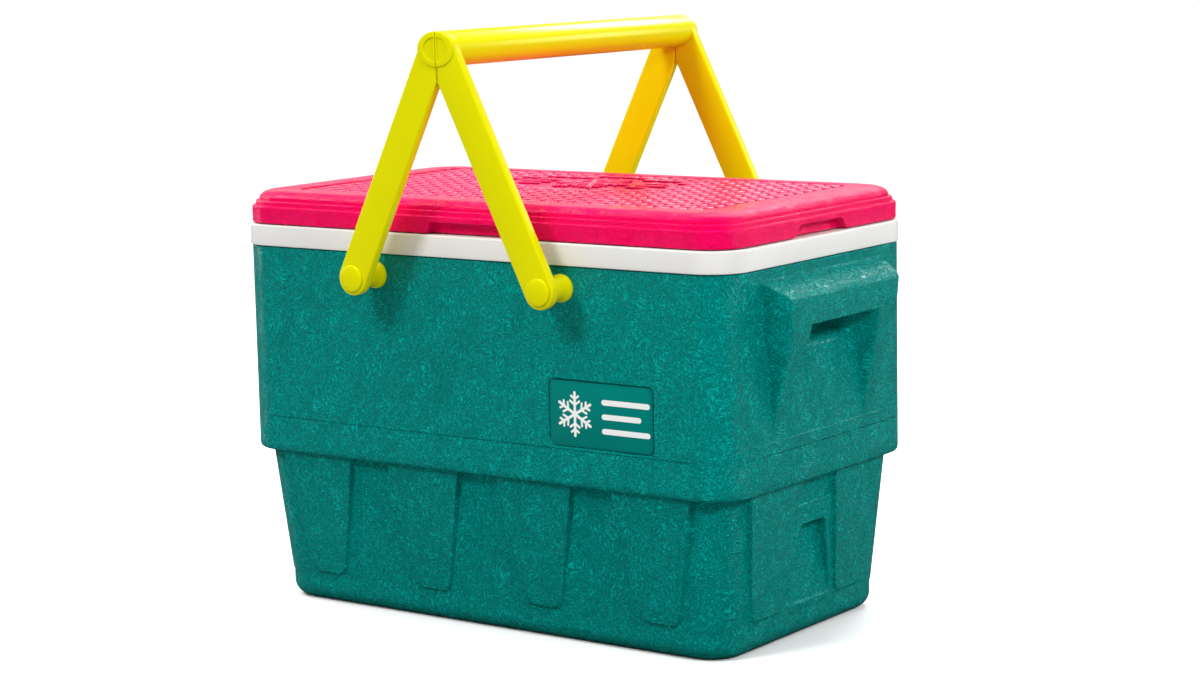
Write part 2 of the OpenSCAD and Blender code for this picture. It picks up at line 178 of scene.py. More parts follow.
def ring(a, b, r, z, long_keys, long_counts, short_keys, short_counts):
    """Points and outward normals round one level, from the front's left end, anticlockwise."""
    r = max(r, 0.5)
    xs = keyed(a - r, long_keys, long_counts)
    ys = keyed(b - r, short_keys, short_counts)
    pts, nrm = [], []
    turn = np.radians(np.linspace(0, 90, CORNER_STEPS + 2)[1:-1])

    def corner(cx, cy, start):
        t = turn + math.radians(start)
        pts.append(np.c_[cx + r * np.cos(t), cy + r * np.sin(t)])
        nrm.append(np.c_[np.cos(t), np.sin(t)])

    def side(p, n):
        pts.append(p)
        nrm.append(np.tile(n, (len(p), 1)))

    side(np.c_[xs, np.full_like(xs, -b)], (0, -1))
    corner(a - r, -(b - r), -90)
    side(np.c_[np.full_like(ys, a), ys], (1, 0))
    corner(a - r, b - r, 0)
    side(np.c_[xs[::-1], np.full_like(xs, b)], (0, 1))
    corner(-(a - r), b - r, 90)
    side(np.c_[np.full_like(ys, -a), ys[::-1]], (-1, 0))
    corner(-(a - r), -(b - r), 180)
    pts, nrm = np.concatenate(pts), np.concatenate(nrm)
    return np.c_[pts, np.full(len(pts), z)], np.c_[nrm, np.zeros(len(nrm))]


def plain_ring(a, b, r, z):
    return ring(a, b, r, z, [], [40], [], [24])[0]


# ---------------------------------------------------------------- outer shell

def low_a(z, d=0.0):
    """Half the lower wall's length at height z, drawn in by d."""
    return LOWER_A - TAPER * (PANEL_TOP - z) / (PANEL_TOP - KINK) - d


def low_b(z, d=0.0):
    """Half the lower wall's depth at height z, drawn in by d."""
    return LOWER_B - TAPER * (PANEL_TOP - z) / (PANEL_TOP - KINK) - d


PANEL_PITCH, PANEL_HEAD, PANEL_FOOT = 109.9, 36.8, 17.2     # half widths at the head and foot
END_PANEL_Y, END_PANEL_HEAD, END_PANEL_FOOT = 60.5, 36, 21.5
PANEL_OVER = 20                                 # the panels run on this far, up into the step
HEAD_OVER, END_HEAD_OVER = 3.88, 2.87           # and their half widths grow by this much there
LEDGE_Z, LEDGE_OUT = 106, 0.9                   # the ledge between the two end panels
POCKET_TOP, POCKET_LOW = 89, 27                 # the tipping pocket
POCKET_HEAD, POCKET_FOOT, POCKET_IN = 17.5, 32, 12
HOOD_TOP, HOOD_BROW, HOOD_LIP, HOOD_LOW = 285.6, 274.4, 250.5, 174
HOOD_OUT = 21
HOLLOW = -13                                    # the hollow behind the end grip's lip
LABEL_X = (PLATE_LOW[0] + PLATE_HIGH[0]) / 2
LABEL_Z = (PLATE_LOW[2] + PLATE_HIGH[2]) / 2
LABEL_W, LABEL_H = 97, 52


def at_height(z, low, high):
    """A value that runs between two (z, value) pairs and stays level beyond them."""
    return np.interp(z, [low[0], high[0]], [low[1], high[1]])


def above_step(z):
    """0 on the lower wall, 1 on the upper."""
    return float(smooth(126.4, 133, z))


def long_edges(z):
    """Where the panels' edges, and above the step the plate's, cross the long sides at height z."""
    foot = [1.5 * PANEL_PITCH + PANEL_FOOT, 1.5 * PANEL_PITCH - PANEL_FOOT,
            0.5 * PANEL_PITCH + PANEL_FOOT, 0.5 * PANEL_PITCH - PANEL_FOOT]
    head = [1.5 * PANEL_PITCH + PANEL_HEAD, 1.5 * PANEL_PITCH - PANEL_HEAD,
            0.5 * PANEL_PITCH + PANEL_HEAD, 0.5 * PANEL_PITCH - PANEL_HEAD]
    label = [LABEL_X + LABEL_W / 2, 128, LABEL_X - LABEL_W / 2, 20]
    t = min(max((z - PANEL_BASE) / (PANEL_TOP - PANEL_BASE), 0), 1)
    up = above_step(z)
    keys = [lerp(lerp(f, h, t), plate, up) for f, h, plate in zip(foot, head, label)]
    return keys[::-1]


def short_edges(z):
    """Where the panel, pocket and end-grip edges cross the short sides at height z."""
    up = above_step(z)
    pocket = lerp(at_height(z, (POCKET_LOW, POCKET_FOOT), (POCKET_TOP, POCKET_HEAD)), hood_inner(z), up)
    panel_in = lerp(at_height(z, (PANEL_BASE, 39), (PANEL_TOP, 24.5)), hood_inner(z) + 6, up)
    panel_out = lerp(at_height(z, (PANEL_BASE, 82), (PANEL_TOP, 96.5)), hood_outer(z) - 8, up)
    last = lerp(panel_out + 1.6, hood_outer(z), up)
    return [pocket, panel_in, panel_out, last]


def hood_outer(z):
    """Half the end grip's width over its legs."""
    return at_height(z, (HOOD_LOW, 74), (HOOD_TOP, 90))


def hood_inner(z):
    """Half the width between its legs."""
    return at_height(z, (HOOD_LOW, 58), (HOOD_LIP, 37))


def trapezoid(u, z, centre, z0, z1, half0, half1, round_low, round_high):
    """How far inside a trapezoid each point is, with its low or high corners rounded."""
    half = half0 + (half1 - half0) * (z - z0) / (z1 - z0)
    side = half - np.abs(u - centre)

    def rounded(side, end, r):
        if r <= 0:
            return np.minimum(side, end)
        near = (side < r) & (end < r)
        bent = r - np.hypot(r - side, r - end)
        return np.where(near, bent, np.minimum(side, end))

    return np.minimum(rounded(side, z - z0, round_low), rounded(side, z1 - z, round_high))


def relief_at(z):
    """How far the panels stand out of the lower wall at height z."""
    t = np.clip((z - PANEL_BASE) / (PANEL_TOP - PANEL_BASE), 0, 1)
    return lerp(RELIEF_LOW, RELIEF, t)


def lower_height(p, n):
    """The lower wall's relief: raised panels, and recesses that deepen towards the step."""
    z = p[:, 2]
    inside = np.full(len(p), -9.0)
    long_side = np.abs(n[:, 1]) > FLAT
    short_side = np.abs(n[:, 0]) > FLAT
    for x in (-1.5, -0.5, 0.5, 1.5):
        d = trapezoid(p[:, 0], z, x * PANEL_PITCH, PANEL_BASE, PANEL_TOP + PANEL_OVER,
                      PANEL_FOOT, PANEL_HEAD + HEAD_OVER, 8, 0)
        inside = np.where(long_side, np.maximum(inside, d), inside)
    for side in (-1, 1):
        d = trapezoid(p[:, 1], z, side * END_PANEL_Y, PANEL_BASE, PANEL_TOP + PANEL_OVER,
                      END_PANEL_FOOT, END_PANEL_HEAD + END_HEAD_OVER, 7, 0)
        inside = np.where(short_side, np.maximum(inside, d), inside)
    mask = smooth(-0.8, 0.8, inside)
    h = -relief_at(z) * (1 - mask)
    # a shallow ledge and the tipping pocket in the middle of each short side
    ledge = 1 - smooth(LEDGE_Z - 1.2, LEDGE_Z, z)
    middle = short_side & (np.abs(p[:, 1]) < 30)
    h = h + np.where(middle & (mask < 0.5), LEDGE_OUT * ledge, 0)
    depth = at_height(z, (POCKET_LOW, RELIEF_LOW + 0.6), (POCKET_TOP, POCKET_IN))
    d = trapezoid(p[:, 1], z, 0, POCKET_LOW, POCKET_TOP, POCKET_FOOT, POCKET_HEAD, 0, 4)
    pocket = smooth(-0.8, 1.6, d)
    return np.where(short_side, lerp(h, np.minimum(h, -depth), pocket), h)


def hood_body(y, z):
    """How far an end grip stands out from the short wall, before it is opened."""
    top = (HOOD_TOP - z) * HOOD_OUT / (HOOD_TOP - HOOD_BROW)
    face = np.full_like(y, HOOD_OUT)
    taper = (z - HOOD_LOW) * HOOD_OUT / (HOOD_LIP - HOOD_LOW) + 0.4
    outer = (hood_outer(z) - y) * 2.5
    body = soft_min(soft_min(top, face, 5), soft_min(taper, outer, 4), 4)
    return soft_max(body, 0 * y, 2.5)


def hood_opened(y, z):
    """The same with its opening: sloping inner walls and a floor that rolls in under the lip."""
    body = hood_body(y, z)
    inner = (y - hood_inner(z)) * 1.75
    floor = HOLLOW * smooth(228, 246, z) * (1 - smooth(31, 38, y))
    return soft_min(body, soft_max(inner, floor, 2.5), np.clip(body * 0.5, 0.01, 2.5))


def ledge_height(y, z):
    """The faint ledge across the end wall, a little below the grip's legs."""
    return 0.8 * (1 - smooth(164, 165, z)) * smooth(127, 131, z) * (1 - smooth(94, 98, np.abs(y)))


def upper_height(p, n, opened):
    """The upper wall's relief: the end grips, a ledge under them and the plate's recess."""
    y, z = np.abs(p[:, 1]), p[:, 2]
    grip = hood_opened(y, z) if opened else hood_body(y, z)
    h = np.where(np.abs(n[:, 0]) > FLAT, grip + ledge_height(p[:, 1], z), 0)
    d = trapezoid(p[:, 0], z, LABEL_X, LABEL_Z - LABEL_H / 2, LABEL_Z + LABEL_H / 2,
                  LABEL_W / 2, LABEL_W / 2, 6, 6)
    return np.where(n[:, 1] < -FLAT, h - 2.2 * smooth(-0.4, 0.5, d), h)


def inner_height(p, n):
    """The inside of the wall, stepped in behind the end grips and the tipping pockets."""
    y, z = np.abs(p[:, 1]), p[:, 2]
    grip = -10.5 * smooth(216, 225, z) * (1 - smooth(268, 273, z)) * (1 - smooth(44, 52, y))
    pocket = -np.interp(z, [POCKET_LOW + 8, POCKET_TOP + 3, POCKET_TOP + 7], [0, 9, 0])
    pocket = pocket * (1 - smooth(30, 38, y))
    return np.where(np.abs(n[:, 0]) > FLAT, grip + pocket, 0)


# The hollow behind the lip: how far out, and how far up, on the way from its floor to the lip.
HOLLOW_PATH = ((0, 0), (0, 0.35), (0.02, 0.7), (0.08, 0.92), (0.18, 1), (0.4, 1), (0.58, 0.98),
               (0.68, 0.86), (0.72, 0.6), (0.72, 0.3), (0.73, 0.08), (0.77, 0), (0.88, 0),
               (0.95, 0.015), (0.985, 0.05), (1, 0.13))
HOLLOW_RISE = 12


def hollow_row(p, n, k):
    """Moves one of the rows at the lip along the hollow's path."""
    low, high = p.copy(), p.copy()
    low[:, 2], high[:, 2] = HOOD_LIP - 0.4, HOOD_LIP + 1.6
    below, above = upper_height(low, n, True), upper_height(high, n, False)
    out, up = HOLLOW_PATH[k]
    deep = smooth(1.5, 9, above - below)
    q = p + n * lerp(below, above, out)[:, None]
    q[:, 2] = lerp(HOOD_LIP + 1.5 * k / (len(HOLLOW_PATH) - 1), HOOD_LIP + HOLLOW_RISE * up, deep)
    return q


def upper_row(z, inset=0, relief=None):
    return z, UPPER_A - inset, UPPER_B - inset, UPPER_R, relief


def lower_row(z, level, inset, r, relief=None):
    """A row at height z with the lower wall's size at another level, drawn in by inset."""
    return z, low_a(level, inset), low_b(level, inset), r, relief


def under_band_row(z, inset, r):
    return z, BAND_A - inset, BAND_B - inset, r, None


def shell_rows():
    """Each level of the shell, up the outside and down the inside.

    A row holds its height, half length, half depth, corner radius and relief. The relief is None for
    a plain level, a word that picks the height function, or a step along HOLLOW_PATH.
    """
    rows = []
    for up, out in edge_turn(np.linspace(90, 0, 9)):
        d = BASE_R * out
        rows.append(lower_row(BASE_R * up, KINK, d + RELIEF_LOW, LOWER_R - d * 0.9))
    heights = [15, 18, 21, 23.2, 24, 24.5, 25, 25.5, 26, 26.6, 27.2, 28.4, 30]
    heights += list(np.arange(32, 84, 3.2))
    heights += [84.5, 86, 87, 88, 88.6, 89.2, 90, 92, 95.5, 99, 102, 104, 104.8]
    heights += [105.2, 105.6, 106, 107, 110, 113.5, 117, 120.5, 123, 125, 126]
    for z in heights:
        if z < PANEL_BASE - 2:
            t = (z - BASE_R) / (PANEL_BASE - 2 - BASE_R)
            rows.append(lower_row(z, lerp(KINK, 23, t), RELIEF_LOW, LOWER_R))
        else:
            rows.append(lower_row(z, z, 0, LOWER_R, "lower"))
    # the step out to the upper wall, with its rounded lower edge
    rows += [upper_row(126.02, 4), upper_row(126.2, 2.6), upper_row(126.9, 1.2),
             upper_row(128.2, 0.35), upper_row(130.2)]
    heights = list(np.arange(133, 156, 3.2)) + [155, 156, 156.6, 157.1, 157.8, 159, 161, 163]
    heights += [163.8, 164.2, 164.6, 165, 166] + list(np.arange(168.5, 206, 3))
    heights += [206, 207.6, 208.3, 208.8, 209.4, 210.5] + list(np.arange(213, 248, 2.4))
    heights += [248.4, 249.2, 249.8]
    rows += [upper_row(z, relief="opened") for z in heights]
    rows += [upper_row(HOOD_LIP, relief=k) for k in range(len(HOLLOW_PATH))]
    heights = [252.6, 254] + list(np.arange(256.5, 268, 3)) + list(np.arange(268, 289.6, 1.4))
    heights += [291, 293.2, 293.9]
    rows += [upper_row(z, relief="upper") for z in heights]
    # the groove under the rim band, the wall's top inside the band, and the way down inside
    rows += [upper_row(BAND_Z - 1.1, 0.25), upper_row(BAND_Z - 0.8, 0.9),
             under_band_row(BAND_Z - 0.8, WALL, BAND_R - WALL),
             under_band_row(BAND_TOP - 3.1, WALL, BAND_R - WALL),
             under_band_row(BAND_TOP - 3.1, 2 * WALL, 25),
             under_band_row(BAND_Z - 5, 2 * WALL, 25)]
    rows += [(z, UPPER_A - 2 * WALL, UPPER_B - 2 * WALL, 26, "inner")
             for z in (275, 271, 268, 262, 254, 246, 238, 230, 225, 220, 214, PANEL_TOP + 8)]
    rows += [lower_row(z, z, RELIEF + 2.6, 26, "inner")
             for z in (PANEL_TOP - 2, 100, 96, 93, 91, 84, 74, 64, 54, 44, 34, KINK)]
    rows += [lower_row(WALL + 9, KINK, RELIEF + 2.6, 26), lower_row(WALL, KINK, 12, 20)]
    return rows


def build_shell():
    rings = []
    for z, a, b, r, relief in shell_rows():
        p, n = ring(a, b, r, z, long_edges(z), [14, 6, 12, 18, 6], short_edges(z), [14, 2, 14, 3, 6])
        if relief == "lower":
            p = p + n * lower_height(p, n)[:, None]
        if relief in ("opened", "upper"):
            p = p + n * upper_height(p, n, relief == "opened")[:, None]
        if relief == "inner":
            p = p + n * inner_height(p, n)[:, None]
        if isinstance(relief, int):
            p = hollow_row(p, n, relief)
        rings.append(p)
    return loft("shell_moulding", rings, 50)


# ---------------------------------------------------------------- liner and rim

def build_liner():
    """The liner up from the cavity's floor, the rim over its top, and the way back underneath."""
    rim_w, floor, bend, lip, brow, foot = 26, 30, 13, 2, 1.5, 0.6
    a, b = RIM_HIGH[0] - rim_w, RIM_HIGH[1] - rim_w
    rows = [(floor, a - 27, b - 27.5, 12)]
    for t in np.radians(np.linspace(0, 90, 8)):
        out = math.sin(t)
        rows.append((floor + bend * (1 - math.cos(t)), a - 26.8 + bend * out, b - 27.3 + bend * out,
                     13 + 9 * out))
    for k in range(1, 13):
        t = k / 12
        rows.append((lerp(floor + bend, BAND_TOP - lip, t), lerp(a - 13.8, a, t), lerp(b - 14.3, b, t),
                     lerp(22, 24, t)))
    for drop, out in edge_turn((22, 45, 68, 90)):
        rows.append((BAND_TOP - lip * drop, a + lip * out, b + lip * out, 24 + lip * out))
    rows.append((BAND_TOP, a + 9, b + 9, 27))
    for inset, drop in edge_turn((0, 22, 45, 68, 90)):
        d = brow * inset
        rows.append((BAND_TOP - brow * drop, BAND_A - d, BAND_B - d, BAND_R - d))
    rows += [(BAND_Z + 6, BAND_A, BAND_B, BAND_R), (BAND_Z + 3.5, BAND_A, BAND_B, BAND_R)]
    for up, inset in edge_turn((0, 30, 60, 90)):
        rows.append((BAND_Z + foot * up, BAND_A - foot * inset, BAND_B - foot * inset, BAND_R - 0.5))
    rows += [(BAND_Z, BAND_A - 2.7, BAND_B - 2.7, 28), (BAND_TOP - 2.8, BAND_A - 2.7, BAND_B - 2.7, 28),
             (BAND_TOP - 2.8, a + 2.5, b + 2.5, 26), (floor + 10, a - 11.3, b - 11.8, 24),
             (floor - 2.5, a - 19.5, b - 20, 18)]
    return loft("rim_and_liner", [plain_ring(half_a, half_b, r, z) for z, half_a, half_b, r in rows], 40)


# ---------------------------------------------------------------- lid

NOTCH_L, NOTCH_W, NOTCH_D, NOTCH_H = 82, 76, 7, 9
SPLAY_L, SPLAY_W = 5, 8                         # how far the notches' sides lean in towards the top
DECK_R, ROLL = 6.2, 11                          # the deck edge's drop and how far in it starts
FIELD_A, FIELD_B = LID_A - TIER_IN - BORDER_L, LID_B - TIER_IN - BORDER_W
LID_WALL = 2.6


def notch_height(p, n, grow=0):
    """How far the finger notches cut into the lid's skirt, or into its inner wall with grow set."""
    z = p[:, 2]
    low, high = LID_Z - 20, LID_Z + NOTCH_H
    d_long = trapezoid(p[:, 0], z, 0, low, high, NOTCH_L / 2 + 11, NOTCH_L / 2 - SPLAY_L, 0, 1.5)
    d_short = trapezoid(p[:, 1], z, 0, low, high, NOTCH_W / 2 + 17.5, NOTCH_W / 2 - SPLAY_W, 0, 1.5)
    d = np.where(np.abs(n[:, 1]) > FLAT, d_long, np.where(np.abs(n[:, 0]) > FLAT, d_short, -99))
    return -NOTCH_D * smooth(-0.7, 0.9, d + grow)


def lid_ring(a, b, r, z):
    """One level of the lid, with points gathered at the notches' sides."""
    t = min(max((z - LID_Z) / NOTCH_H, 0), 1)
    return ring(a, b, r, z, [lerp(NOTCH_L / 2, NOTCH_L / 2 - SPLAY_L, t)], [26, 50],
                [lerp(NOTCH_W / 2, NOTCH_W / 2 - SPLAY_W, t)], [22, 20])


def lid_rows():
    """Each level of the lid's outside: height, inset, corner radius and the notch's growth."""
    rows = [(LID_Z + 0.4 + 1.1 * up, 1.1 * inset, 29, 0) for up, inset in edge_turn((90, 60, 30, 0))]
    rows += [(LID_Z + h, 0, 29, 0) for h in (2.2, 3, 4.5, 6, 7.2, 8, 8.4, 8.8, 9.2, 9.6, 10)]
    rows += [(TIER_Z - 2 * drop, 1.5 * inset, 29, 0) for drop, inset in edge_turn((0, 20, 40, 60, 80))]
    rows += [(TIER_Z - 0.25, BAND_IN, 30, 0), (TIER_Z + 0.2, BAND_IN + 0.1, 30, 0)]
    tier_top = TIER_Z + TIER_BAND
    rows += [(tier_top - 1.6 * drop, BAND_IN + 0.1 + 1.4 * inset, 30.5, 0)
             for drop, inset in edge_turn((0, 25, 50, 75))]
    rows += [(tier_top - 0.25, TIER_IN, 32, 0), (tier_top + 0.2, TIER_IN + 0.1, 32, 0)]
    rows += [(DECK_Z - DECK_R * drop, TIER_IN + 0.1 + ROLL * inset, 32 - 8 * inset, 0)
             for drop, inset in edge_turn((0, 8, 16, 24, 32, 40, 50, 60, 70, 80, 90))]
    return rows


def lid_under_rows():
    """The same for the lid's inside, from its foot up to the deck's underside."""
    rows = [(LID_Z + h, LID_WALL, 27, LID_WALL) for h in (0.4, 3, 6, 9, 10.9)]
    rows += [(LID_Z + 11.5, LID_WALL, 27, 0), (TIER_Z - 0.6, LID_WALL + TIER_IN, 27, 0),
             (DECK_Z - 4.6, LID_WALL + TIER_IN, 27, 0), (DECK_Z - 2.6, LID_WALL + TIER_IN + 2, 25, 0)]
    return rows


def build_lid():
    rings = []
    for z, d, r, grow in lid_under_rows()[::-1] + lid_rows():
        p, n = lid_ring(LID_A - d, LID_B - d, r, z)
        if z < LID_Z + 11:
            p = p + n * notch_height(p, n, grow)[:, None]
        rings.append(p)
    for inset, drop in ((0, 0), (0.3, 0.12), (0.7, FIELD_D - 0.12), (1.1, FIELD_D)):
        rings.append(lid_ring(FIELD_A - inset, FIELD_B - inset, 12 - inset, DECK_Z - drop)[0])
    return loft("lid_moulding", rings, 50)


TREAD_X, TREAD_Y = 15.0, 14.0                   # pitch along the deck and across it
TREAD_L, TREAD_W, TREAD_H = 13.4, 12.2, 1.5
TREAD_R = 3.2
PILLOW = ((0, 0, -0.2), (0.3, 0.25, 0.75), (1.0, 0.6, 1.12), (2.2, 1.1, 1.34), (3.6, 1.9, 1.46),
          (5, 3, TREAD_H))                      # a pillow's levels: inset along, inset across, height
CREST_X, CREST_Y, CREST_A, CREST_B = -5, 40, 86, 46         # the smooth oval left for the crest


def pillow_outline(inset_l, inset_w):
    """A rounded rectangle drawn in by different amounts along and across."""
    r = max(TREAD_R - min(inset_l, inset_w), 0.6)
    a, b = TREAD_L / 2 - inset_l - r, TREAD_W / 2 - inset_w - r
    turn = np.radians((0, 30, 60, 90))
    pts = []
    for sx, sy, start in ((1, 1, 0), (-1, 1, 90), (-1, -1, 180), (1, -1, 270)):
        t = turn + math.radians(start)
        pts += list(zip(sx * a + r * np.cos(t), sy * b + r * np.sin(t)))
    return pts


def build_deck_tread():
    """The non-slip tread on the deck: rows of small pillows, crowned like the strands of a weave."""
    half_x, half_y = FIELD_A - 0.5, FIELD_B - 0.5
    z0 = DECK_Z - FIELD_D
    verts, faces = [], []
    rows, count = int(2 * half_y / TREAD_Y), int(2 * half_x / TREAD_X)
    for j in range(rows):
        y = (j - (rows - 1) / 2) * TREAD_Y
        for i in range(count):
            x = (i - (count - 1) / 2) * TREAD_X
            crest = ((x - CREST_X) / CREST_A) ** 2 + ((y - CREST_Y) / CREST_B) ** 2
            if crest < 1:
                continue
            base = len(verts)
            for inset_l, inset_w, up in PILLOW:
                outline = pillow_outline(inset_l, inset_w)
                verts += [(x + u, y + v, z0 + up) for u, v in outline]
            n = len(outline)
            top = base + (len(PILLOW) - 1) * n
            for level in range(base, top, n):
                for k in range(n):
                    m = (k + 1) % n
                    faces.append((level + k, level + m, level + n + m, level + n + k))
            faces.append(tuple(top + k for k in range(n)))
            faces.append(tuple(base + k for k in reversed(range(n))))
    return mesh_object("deck_tread", verts, faces)


def build_crest():
    """A plain raised device on the deck: an ice crystal between short waves of bars."""
    strokes = []
    for k in range(6):
        turn = math.radians(60 * k)
        strokes.append(bar(CREST_X, CREST_Y, 34, 5, turn))
        for out, size in ((14, 11), (23, 8)):
            x, y = CREST_X + out * math.cos(turn), CREST_Y + out * math.sin(turn)
            strokes += [bar(x, y, size, 3.6, turn + math.radians(a)) for a in (-55, 55)]
    for side in (-1, 1):
        for dy, length in ((14, 18), (0, 26), (-14, 18)):
            strokes.append(bar(CREST_X + side * 45, CREST_Y + dy, length, 5, 0 if side > 0 else math.pi))
    bm = bmesh.new()
    z0 = DECK_Z - FIELD_D
    for k, pts in enumerate(strokes):
        levels = [(z0 - 0.2, 0), (z0 + 1.0, 0.1), (z0 + 1.35, 0.35), (z0 + 1.52 - 0.002 * k, 0.9)]
        loops = [[bm.verts.new((x * MM, y * MM, z * MM)) for x, y in offset_outline(pts, d)]
                 for z, d in levels]
        wrap(bm, loops)
        bm.faces.new(loops[0])
        bm.faces.new(loops[-1])
    return finish_bmesh(bm, "deck_crest", 60)


# ---------------------------------------------------------------- handles

def offset_outline(points, d):
    """Moves each point of a closed anticlockwise outline inwards by d."""
    p = np.array(points)
    before, after = np.roll(p, 1, 0), np.roll(p, -1, 0)

    def normal(v):
        v = v / np.maximum(np.linalg.norm(v, axis=1, keepdims=True), 1e-9)
        return np.c_[-v[:, 1], v[:, 0]]

    n0, n1 = normal(p - before), normal(after - p)
    mid = n0 + n1
    mid /= np.maximum((mid * mid).sum(1, keepdims=True), 0.5) / 2
    return p + mid * d


def arm_side(sign):
    """One edge line of an arm, as a point and a direction from pivot to grip."""
    pivot = np.array([PIVOT_X, PIVOT_Z])
    top = np.array([2.0, GRIP_Z + 2])
    run = (top - pivot) / np.linalg.norm(top - pivot)
    left = np.array([-run[1], run[0]])
    return pivot + sign * left * ARM_W / 2, run


def oval(t):
    return np.array([GRIP_W / 2 * math.cos(t), GRIP_Z + GRIP_H / 2 * math.sin(t)])


def arm_outline(seam):
    """The right arm seen from the front, anticlockwise from the fork under the grip."""
    inner, run = arm_side(1)
    outer, _ = arm_side(-1)
    fork = inner + run * (seam - inner[0]) / run[0]
    pts = [fork]
    pts += [lerp(fork, inner, k / 12) for k in range(1, 12)]
    start = math.atan2(inner[1] - PIVOT_Z, inner[0] - PIVOT_X)
    for k in range(0, 33):
        t = start + math.pi * k / 32
        pts.append(np.array([PIVOT_X + ARM_W / 2 * math.cos(t), PIVOT_Z + ARM_W / 2 * math.sin(t)]))
    # where the outer edge runs into the grip's oval
    side = np.array([run[1], -run[0]])
    angles = np.linspace(-0.6, 1.2, 400)
    signed = [float(np.dot(oval(t) - outer, side)) for t in angles]
    cross = next(t for t, a, b in zip(angles, signed, signed[1:]) if a < 0 <= b or a >= 0 > b)
    meet = oval(cross)
    pts += [lerp(outer, meet, k / 14) for k in range(1, 14)]
    last = math.acos(seam / (GRIP_W / 2))
    pts += [oval(lerp(cross, last, k / 18)) for k in range(0, 19)]
    return pts


def place_along_y(bm, levels):
    """Loops of vertices for outlines in X and Z, each given as (y, points)."""
    return [[bm.verts.new((p[0] * MM, y * MM, p[1] * MM)) for p in pts] for y, pts in levels]


def wrap(bm, loops):
    """Quads between loops of equal counts."""
    n = len(loops[0])
    for a, b in zip(loops, loops[1:]):
        for i in range(n):
            k = (i + 1) % n
            bm.faces.new((a[i], a[k], b[k], b[i]))


def fill_between(bm, loops):
    """A flat cap bounded by loops in one plane, the first outside the others."""
    edges = []
    for loop in loops:
        for a, b in zip(loop, loop[1:] + loop[:1]):
            edges.append(bm.edges.get((a, b)) or bm.edges.new((a, b)))
    bmesh.ops.triangle_fill(bm, use_beauty=True, edges=edges)


def finish_bmesh(bm, name, smooth_angle):
    bmesh.ops.recalc_face_normals(bm, faces=bm.faces)
    mesh = bpy.data.meshes.new(name)
    bm.to_mesh(mesh)
    bm.free()
    mesh.shade_smooth()
    mesh.set_sharp_from_angle(angle=math.radians(smooth_angle))
    obj = bpy.data.objects.new(name, mesh)
    bpy.context.scene.collection.objects.link(obj)
    return obj


def rounded_levels(outline, y0, y1, r):
    """Outlines from y0 to y1 whose two edges are rounded by r."""
    turns = edge_turn((0, 22, 45, 68, 90))
    low = [(y0 + r * along, offset_outline(outline, r * inset)) for inset, along in turns]
    high = [(y1 - r * along, offset_outline(outline, r * inset)) for inset, along in turns[::-1]]
    return low + high


def half_oval(d, flat, up=None):
    """The right half of the grip's section, drawn in by d (and by up in height), flat side at x = flat."""
    a, b = GRIP_W / 2 - d, GRIP_H / 2 - (d if up is None else up)
    low = math.acos(flat / a)
    arc = [np.array([a * math.cos(t), GRIP_Z + b * math.sin(t)]) for t in np.linspace(-low, low, 40)]
    top, bottom = arc[-1], arc[0]
    return arc + [lerp(top, bottom, k / 4) for k in (1, 2, 3)]


def circle(x, z, r, steps):
    return [np.array([x + r * math.cos(t), z + r * math.sin(t)])
            for t in np.linspace(0, 2 * math.pi, steps, endpoint=False)]


SEAM = 0.15                                     # half the gap between the two bails
BORE_R = 5.08
GRIP_END = ARM_Y + 1
GRIP_EDGE = 0.8


def build_arm(bm, side):
    """One flat arm with rounded edges and a bore at its foot."""
    y0, y1 = sorted((side * (ARM_Y - ARM_T), side * ARM_Y))
    levels = rounded_levels(arm_outline(SEAM), y0, y1, 1.5)
    loops = place_along_y(bm, levels)
    bores = place_along_y(bm, [(y, circle(PIVOT_X, PIVOT_Z, BORE_R, 48)) for y in (y0, y1)])
    wrap(bm, loops)
    wrap(bm, bores)
    fill_between(bm, [loops[0], bores[0]])
    fill_between(bm, [loops[-1], bores[1]])


def build_grip(bm):
    """The bar between the arms, and each end's proud ring with its shallow hollow."""
    top = GRIP_END
    end = [(top - GRIP_EDGE * along, half_oval(GRIP_EDGE * inset, SEAM + 0.3 * inset))
           for inset, along in edge_turn((90, 60, 30, 0))]
    end += [(top, half_oval(5.2, 1.1, 4.1)), (top - 0.35, half_oval(5.6, 1.4, 4.5)),
            (top - 4.6, half_oval(5.9, 1.6, 4.8)), (top - 4.8, half_oval(6.5, 2.0, 5.4))]
    levels = [(-y, pts) for y, pts in reversed(end)] + end
    loops = place_along_y(bm, levels)
    wrap(bm, loops)
    bm.faces.new(loops[0])
    bm.faces.new(loops[-1])


def build_bail(name, side):
    """The right bail, or its mirror image for the left."""
    bm = bmesh.new()
    build_arm(bm, -1)
    build_arm(bm, 1)
    build_grip(bm)
    if side < 0:
        bmesh.ops.scale(bm, vec=(-1, 1, 1), verts=bm.verts)
    return finish_bmesh(bm, name, 35)


# ---------------------------------------------------------------- pivots

def turned(name, profile, x, z, side):
    """A lathe-turned piece on a pivot's axis, from (radius, distance from the middle) pairs."""
    steps = 64
    verts, faces = [], []
    for r, y in profile:
        for k in range(steps):
            t = 2 * math.pi * k / steps
            verts.append((x + r * math.cos(t), side * y, z + side * r * math.sin(t)))
    m = len(profile)
    for j in range(m):
        for k in range(steps):
            a, b = j * steps + k, j * steps + (k + 1) % steps
            c, d = ((j + 1) % m) * steps + k, ((j + 1) % m) * steps + (k + 1) % steps
            faces.append((a, c, d, b))
    obj = mesh_object(name, verts, faces, 40)
    bm = bmesh.new()
    bm.from_mesh(obj.data)
    bmesh.ops.remove_doubles(bm, verts=bm.verts, dist=1e-7)
    bmesh.ops.recalc_face_normals(bm, faces=bm.faces)
    bm.to_mesh(obj.data)
    bm.free()
    obj.data.set_sharp_from_angle(angle=math.radians(40))
    return obj


